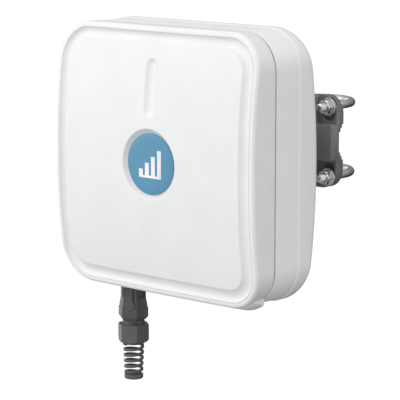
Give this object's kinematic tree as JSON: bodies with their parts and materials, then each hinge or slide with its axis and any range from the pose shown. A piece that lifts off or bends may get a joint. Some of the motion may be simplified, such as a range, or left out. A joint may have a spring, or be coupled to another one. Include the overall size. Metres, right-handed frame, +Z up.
{
  "type": "flat panel antenna with pole mount",
  "caption": "Square flat panel antenna with a cable gland below and a tilt-and-pan bracket on a two-U-bolt pole clamp behind.",
  "frame": {"origin": "on the pole's axis, midway between the two U-bolts", "axes": "+X to the right seen from the antenna's front, +Y from the antenna towards the pole, +Z up along the pole"},
  "size_m": [0.25, 0.2812, 0.3498],
  "materials": {
    "moulded_white": "fine satin texture, UV-stable white",
    "badge_blue": "satin blue label",
    "badge_white": "satin white print",
    "gland_plastic": "dark grey nylon",
    "bracket_plastic": "dark grey glass-filled nylon",
    "rubber": "matt black",
    "zinc_steel": "bright zinc-plated steel",
    "aluminium_sheet": "mill finish sheet",
    "brass": "satin",
    "board": "green solder mask"
  },
  "bodies": {
    "clamp": {"clamp_jaw": "bracket_plastic", "pan_bolt": "zinc_steel", "pan_washer_upper": "zinc_steel", "pan_washer_lower": "zinc_steel", "pan_nut": "zinc_steel", "clamp_washer_upper_left": "zinc_steel", "clamp_washer_upper_right": "zinc_steel", "clamp_washer_lower_left": "zinc_steel", "clamp_washer_lower_right": "zinc_steel"},
    "arm": {"tilt_arm": "bracket_plastic"},
    "panel": {"front_cover": "moulded_white", "badge_disc": "badge_blue", "badge_mark": "badge_white", "seam_gasket": "rubber", "back_housing": "moulded_white", "cover_screw_1": "zinc_steel", "cover_screw_2": "zinc_steel", "cover_screw_3": "zinc_steel", "cover_screw_4": "zinc_steel", "reflector_plate": "aluminium_sheet", "reflector_screw_1": "zinc_steel", "reflector_screw_2": "zinc_steel", "reflector_screw_3": "zinc_steel", "reflector_screw_4": "zinc_steel", "patch_driven": "brass", "patch_parasitic": "brass", "patch_spacer": "gland_plastic", "radio_board": "board", "board_standoff_1": "brass", "board_standoff_2": "brass", "board_standoff_3": "brass", "board_standoff_4": "brass", "board_shield": "zinc_steel", "ethernet_jack": "zinc_steel", "pigtail_left": "rubber", "pigtail_right": "rubber", "gland_washer": "rubber", "gland_body": "gland_plastic", "gland_locknut": "gland_plastic", "gland_seal": "rubber", "mount_plate": "bracket_plastic", "mount_screw_1": "zinc_steel", "mount_screw_2": "zinc_steel", "mount_screw_3": "zinc_steel", "mount_screw_4": "zinc_steel", "tilt_bolt": "zinc_steel", "tilt_washer_left": "zinc_steel", "tilt_washer_right": "zinc_steel", "tilt_nut": "zinc_steel"},
    "gland_pusher": {"gland_claw": "gland_plastic"},
    "gland_cap": {"gland_nut": "gland_plastic"},
    "u_bolt_upper": {"u_bolt_upper": "zinc_steel"},
    "u_bolt_lower": {"u_bolt_lower": "zinc_steel"},
    "clamp_nut_upper_left": {"clamp_nut_upper_left": "zinc_steel"},
    "clamp_nut_upper_right": {"clamp_nut_upper_right": "zinc_steel"},
    "clamp_nut_lower_left": {"clamp_nut_lower_left": "zinc_steel"},
    "clamp_nut_lower_right": {"clamp_nut_lower_right": "zinc_steel"}
  },
  "joints": [
    {"name": "pan", "type": "hinge", "parent": "clamp", "child": "arm", "pos_m": [0, -0.0586, 0], "axis": [0, 0, 1], "range_deg": [-40, 40]},
    {"name": "tilt", "type": "hinge", "parent": "arm", "child": "panel", "pos_m": [0, -0.1136, 0], "axis": [1, 0, 0], "range_deg": [-30, 30]},
    {"name": "gland_travel", "type": "slide", "parent": "panel", "child": "gland_pusher", "axis": [0, 0, 1], "range_m": [-0.003, 0]},
    {"name": "gland_turn", "type": "hinge", "parent": "gland_pusher", "child": "gland_cap", "pos_m": [-0.0733, -0.1886, -0.18], "axis": [0, 0, 1], "range_deg": [-730, 730]},
    {"name": "u_bolt_upper_draw", "type": "slide", "parent": "clamp", "child": "u_bolt_upper", "axis": [0, 1, 0], "range_m": [-0.009, 0.006]},
    {"name": "clamp_nut_upper_left_turn", "type": "hinge", "parent": "clamp", "child": "clamp_nut_upper_left", "pos_m": [-0.0335, -0.029, 0.0347], "axis": [0, 1, 0], "range_deg": [-2600, 2600]},
    {"name": "clamp_nut_upper_right_turn", "type": "hinge", "parent": "clamp", "child": "clamp_nut_upper_right", "pos_m": [0.0335, -0.029, 0.0347], "axis": [0, 1, 0], "range_deg": [-2600, 2600]},
    {"name": "u_bolt_lower_draw", "type": "slide", "parent": "clamp", "child": "u_bolt_lower", "axis": [0, 1, 0], "range_m": [-0.009, 0.006]},
    {"name": "clamp_nut_lower_left_turn", "type": "hinge", "parent": "clamp", "child": "clamp_nut_lower_left", "pos_m": [-0.0335, -0.029, -0.0347], "axis": [0, 1, 0], "range_deg": [-2600, 2600]},
    {"name": "clamp_nut_lower_right_turn", "type": "hinge", "parent": "clamp", "child": "clamp_nut_lower_right", "pos_m": [0.0335, -0.029, -0.0347], "axis": [0, 1, 0], "range_deg": [-2600, 2600]}
  ],
  "couplings": [
    {"joint": "gland_turn", "follows": "gland_travel", "rad_per_m": 4188.8},
    {"joint": "clamp_nut_upper_left_turn", "follows": "u_bolt_upper_draw", "rad_per_m": 5026.5},
    {"joint": "clamp_nut_upper_right_turn", "follows": "u_bolt_upper_draw", "rad_per_m": 5026.5},
    {"joint": "clamp_nut_lower_left_turn", "follows": "u_bolt_lower_draw", "rad_per_m": 5026.5},
    {"joint": "clamp_nut_lower_right_turn", "follows": "u_bolt_lower_draw", "rad_per_m": 5026.5}
  ]
}
